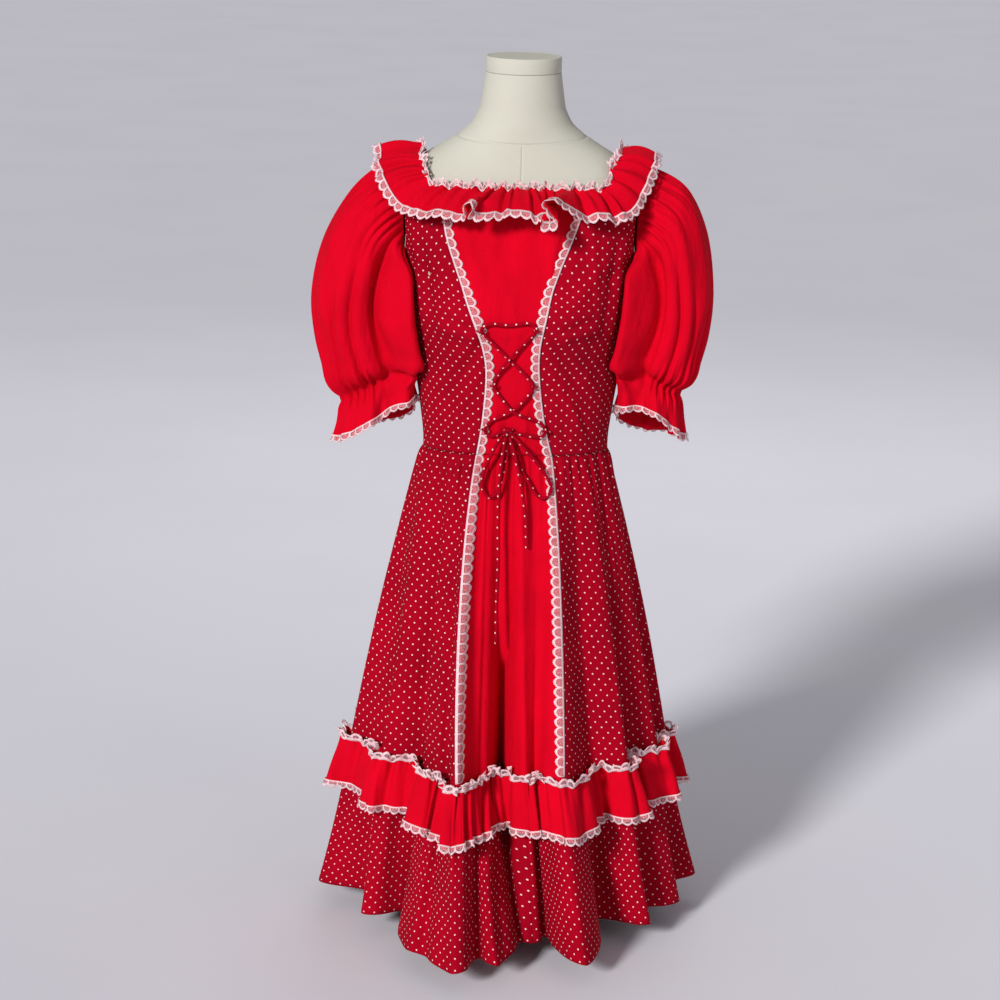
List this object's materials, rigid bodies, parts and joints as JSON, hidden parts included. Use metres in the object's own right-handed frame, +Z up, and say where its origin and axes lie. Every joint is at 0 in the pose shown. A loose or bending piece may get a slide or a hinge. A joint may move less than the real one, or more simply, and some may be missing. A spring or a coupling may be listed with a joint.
{
  "type": "square dance dress on dress form",
  "caption": "Red puff-sleeved dress with pin-dotted side panels, lace-edged ruffles, a laced front and a full tiered skirt, worn by a limbless dress form on a low round stand.",
  "frame": {"origin": "middle of the round base's underside, on the floor", "axes": "+Z up the form's pole, -Y the way the dress faces, +X the viewer's right, which is the wearer's left"},
  "size_m": [0.5505, 0.591, 1.2193],
  "materials": {
    "plain_cotton": "plain weave, slight sheen",
    "dotted_cotton": "plain weave, white pin dots",
    "lace": "scalloped lace with a net ground",
    "dotted_cord": "cord covered in the dotted cloth",
    "jersey": "smooth jersey over a hard form",
    "bright_steel": "brushed",
    "painted_steel": "satin grey paint"
  },
  "bodies": {
    "root": {"form_torso": "jersey", "form_neck_cap": "jersey", "stand_pole": "bright_steel", "stand_base": "painted_steel", "bodice_front_centre": "plain_cotton", "bodice_front_left": "dotted_cotton", "bodice_back_left": "dotted_cotton", "bodice_front_right": "dotted_cotton", "bodice_back_right": "dotted_cotton", "back_zip_lap": "dotted_cotton", "bodice_band_left": "lace", "skirt_band_left": "lace", "bodice_band_right": "lace", "skirt_band_right": "lace", "skirt_front_left": "dotted_cotton", "skirt_front_centre": "plain_cotton", "skirt_front_right": "dotted_cotton", "skirt_back_right": "dotted_cotton", "skirt_back_left": "dotted_cotton", "flounce_front_left": "dotted_cotton", "flounce_front_right": "dotted_cotton", "flounce_back_right": "dotted_cotton", "flounce_back_left": "dotted_cotton", "tier_ruffle": "plain_cotton", "tier_heading_lace": "lace", "tier_edging_lace": "lace", "neck_ruffle": "plain_cotton", "neck_edging_lace": "lace", "neck_heading_lace": "lace", "sleeve_left": "plain_cotton", "cuff_lace_left": "lace", "sleeve_right": "plain_cotton", "cuff_lace_right": "lace", "lacing_cord": "dotted_cord", "lacing_loop_top_left": "dotted_cord", "lacing_loop_top_right": "dotted_cord", "lacing_loop_middle_left": "dotted_cord", "lacing_loop_middle_right": "dotted_cord", "lacing_loop_low_left": "dotted_cord", "lacing_loop_low_right": "dotted_cord", "bow_knot": "dotted_cord", "bow_loop_left": "dotted_cord", "cord_tail_left": "dotted_cord", "bow_loop_right": "dotted_cord", "cord_tail_right": "dotted_cord"}
  },
  "joints": []
}
